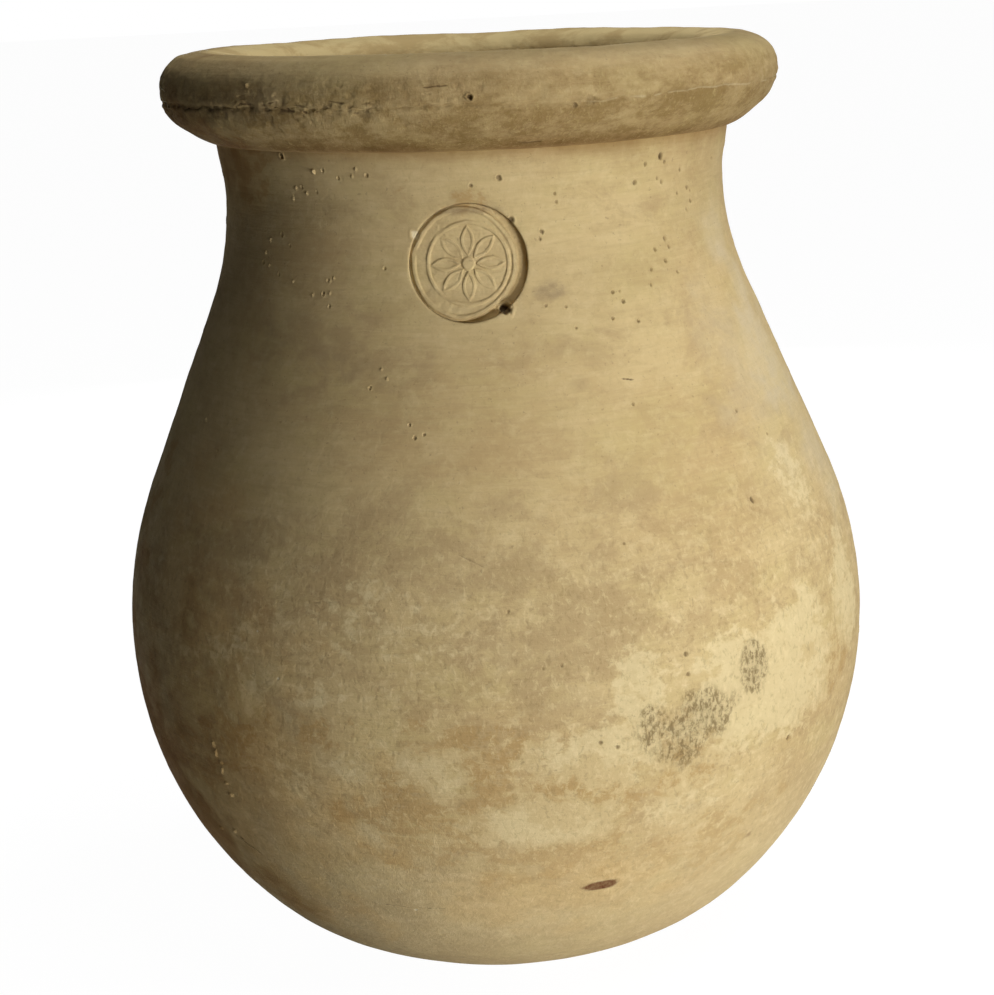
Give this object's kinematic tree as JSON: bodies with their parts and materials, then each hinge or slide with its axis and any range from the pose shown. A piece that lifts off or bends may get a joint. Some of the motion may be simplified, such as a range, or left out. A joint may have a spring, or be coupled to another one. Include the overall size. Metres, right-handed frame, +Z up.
{
  "type": "olive jar",
  "caption": "Large buff earthenware jar: small flat foot, round belly, short neck, thick rolled rim with a wide open mouth, and a round stamped seal on the neck.",
  "frame": {"origin": "centre of the foot's flat underside", "axes": "+Z up along the jar's axis of turning, -Y towards the side with the seal, +X to the right of the seal as seen from the front"},
  "size_m": [0.5739, 0.574, 0.703],
  "materials": {
    "clay_body": "unglazed, matt, weathered",
    "clay_seal": "unglazed, matt, stamped"
  },
  "bodies": {
    "root": {"foot": "clay_body", "lower_ring": "clay_body", "belly_ring": "clay_body", "shoulder_ring": "clay_body", "neck_ring": "clay_body", "under_coil": "clay_body", "lip_coil": "clay_body", "seal": "clay_seal"}
  },
  "joints": []
}
